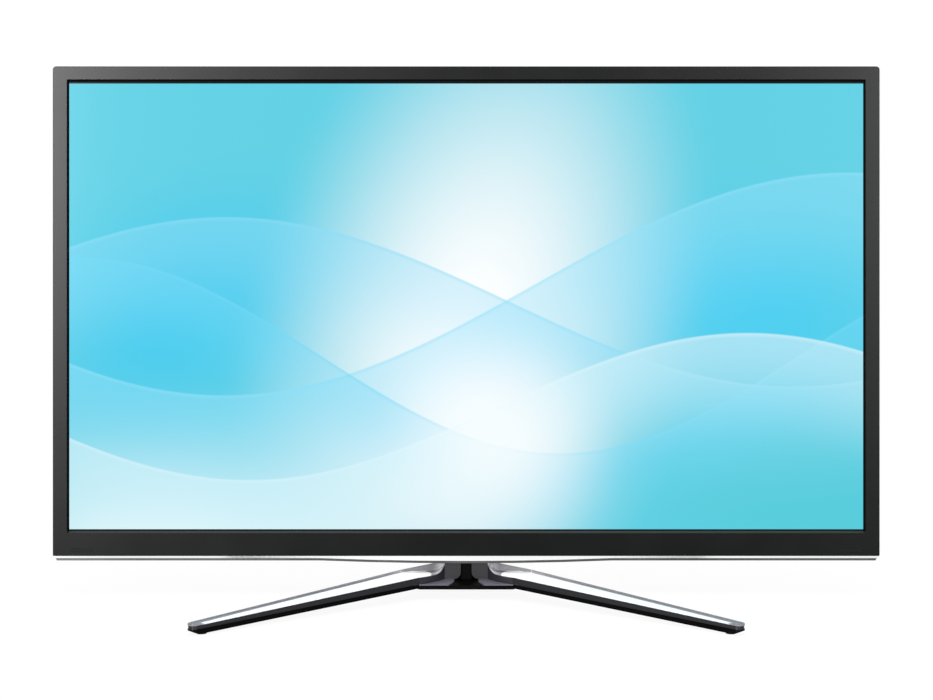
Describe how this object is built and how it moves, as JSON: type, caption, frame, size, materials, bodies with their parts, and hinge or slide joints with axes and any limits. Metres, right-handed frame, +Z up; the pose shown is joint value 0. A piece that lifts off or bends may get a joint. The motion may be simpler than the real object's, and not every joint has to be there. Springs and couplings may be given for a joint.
{
  "type": "flat screen tv",
  "caption": "Wide flat screen television with a thin dark bezel, a bright lower trim strip and a low stand of two splayed bright-topped legs.",
  "frame": {"origin": "on the table under the middle of the set's overall box", "axes": "+Z up, the screen faces -Y, +X is to the viewer's right"},
  "size_m": [0.967, 0.313, 0.6187],
  "materials": {
    "bezel_plastic": "high gloss moulded ABS",
    "trim_chrome": "bright plated strip",
    "lip_plastic": "satin moulded ABS",
    "lit_screen": "lit display behind glass",
    "seal_foam": "soft foam",
    "frame_plastic": "moulded",
    "sheet_film": "white optical film",
    "guide_acrylic": "clear acrylic",
    "led_strip": "metal core strip",
    "chassis_steel": "zinc plated pressed steel",
    "cover_plastic": "fine spark-eroded texture",
    "screw_steel": "black zinc",
    "standoff_brass": "turned",
    "board_laminate": "green solder mask",
    "ribbon_film": "flat flexible film",
    "sink_aluminium": "extruded",
    "transformer_ferrite": "sintered core",
    "capacitor_sleeve": "sleeved can",
    "socket_shell": "nickel plated",
    "socket_plastic": "moulded",
    "jack_steel": "zinc plated",
    "pin_brass": "plated",
    "speaker_plastic": "moulded",
    "speaker_cone": "treated cone",
    "window_plastic": "infrared-clear tint",
    "key_plastic": "satin",
    "leg_graphite": "gloss graphite",
    "leg_chrome": "bright plated",
    "tray_plastic": "gloss black",
    "base_metal": "gloss black",
    "foot_rubber": "soft",
    "lead_sleeve": "sleeved bundle"
  },
  "bodies": {
    "set": {"aerial_socket": "socket_shell", "av_sockets": "socket_plastic", "backplate": "chassis_steel", "board_screws": "screw_steel", "board_standoffs": "standoff_brass", "capacitors": "capacitor_sleeve", "chrome_strip": "trim_chrome", "cover_screws": "screw_steel", "diffuser_sheet": "sheet_film", "driver_boards": "board_laminate", "front_bezel": "bezel_plastic", "hdmi_sockets": "socket_shell", "headphone_socket": "socket_plastic", "heat_sinks": "sink_aluminium", "inlet_pins": "pin_brass", "internal_leads": "lead_sleeve", "jack_plates": "jack_steel", "key_board": "board_laminate", "key_switches": "socket_plastic", "lan_socket": "socket_plastic", "lcd_panel": "lit_screen", "led_bar": "led_strip", "leg_casting_left": "leg_graphite", "leg_casting_right": "leg_graphite", "leg_cover_left": "leg_chrome", "leg_cover_right": "leg_chrome", "leg_trays": "tray_plastic", "light_guide": "guide_acrylic", "light_seal": "seal_foam", "lower_lip": "lip_plastic", "main_board": "board_laminate", "mid_frame": "frame_plastic", "neck_core": "base_metal", "panel_ribbons": "ribbon_film", "power_board": "board_laminate", "power_inlet": "socket_plastic", "prism_sheet": "sheet_film", "rear_cover": "cover_plastic", "rear_housing": "cover_plastic", "reflector_sheet": "sheet_film", "sensor_boards": "board_laminate", "sensor_windows": "window_plastic", "speaker_boxes": "speaker_plastic", "speaker_drivers": "speaker_cone", "stand_base": "base_metal", "stand_bracket": "chassis_steel", "stand_feet": "foot_rubber", "stand_screws": "screw_steel", "timing_board": "board_laminate", "transformer": "transformer_ferrite", "usb_sockets": "socket_shell", "vesa_mount": "chassis_steel", "vga_socket": "socket_plastic"},
    "power_key_body": {"power_key": "key_plastic"},
    "source_key_body": {"source_key": "key_plastic"},
    "menu_key_body": {"menu_key": "key_plastic"},
    "channel_up_key_body": {"channel_up_key": "key_plastic"},
    "channel_down_key_body": {"channel_down_key": "key_plastic"},
    "volume_up_key_body": {"volume_up_key": "key_plastic"},
    "volume_down_key_body": {"volume_down_key": "key_plastic"}
  },
  "joints": [
    {"name": "power_press", "type": "slide", "parent": "set", "child": "power_key_body", "axis": [0, -1, 0], "range_m": [0, 0.0008], "stiffness_N_per_m": 600},
    {"name": "source_press", "type": "slide", "parent": "set", "child": "source_key_body", "axis": [0, -1, 0], "range_m": [0, 0.0008], "stiffness_N_per_m": 600},
    {"name": "menu_press", "type": "slide", "parent": "set", "child": "menu_key_body", "axis": [0, -1, 0], "range_m": [0, 0.0008], "stiffness_N_per_m": 600},
    {"name": "channel_up_press", "type": "slide", "parent": "set", "child": "channel_up_key_body", "axis": [0, -1, 0], "range_m": [0, 0.0008], "stiffness_N_per_m": 600},
    {"name": "channel_down_press", "type": "slide", "parent": "set", "child": "channel_down_key_body", "axis": [0, -1, 0], "range_m": [0, 0.0008], "stiffness_N_per_m": 600},
    {"name": "volume_up_press", "type": "slide", "parent": "set", "child": "volume_up_key_body", "axis": [0, -1, 0], "range_m": [0, 0.0008], "stiffness_N_per_m": 600},
    {"name": "volume_down_press", "type": "slide", "parent": "set", "child": "volume_down_key_body", "axis": [0, -1, 0], "range_m": [0, 0.0008], "stiffness_N_per_m": 600}
  ]
}
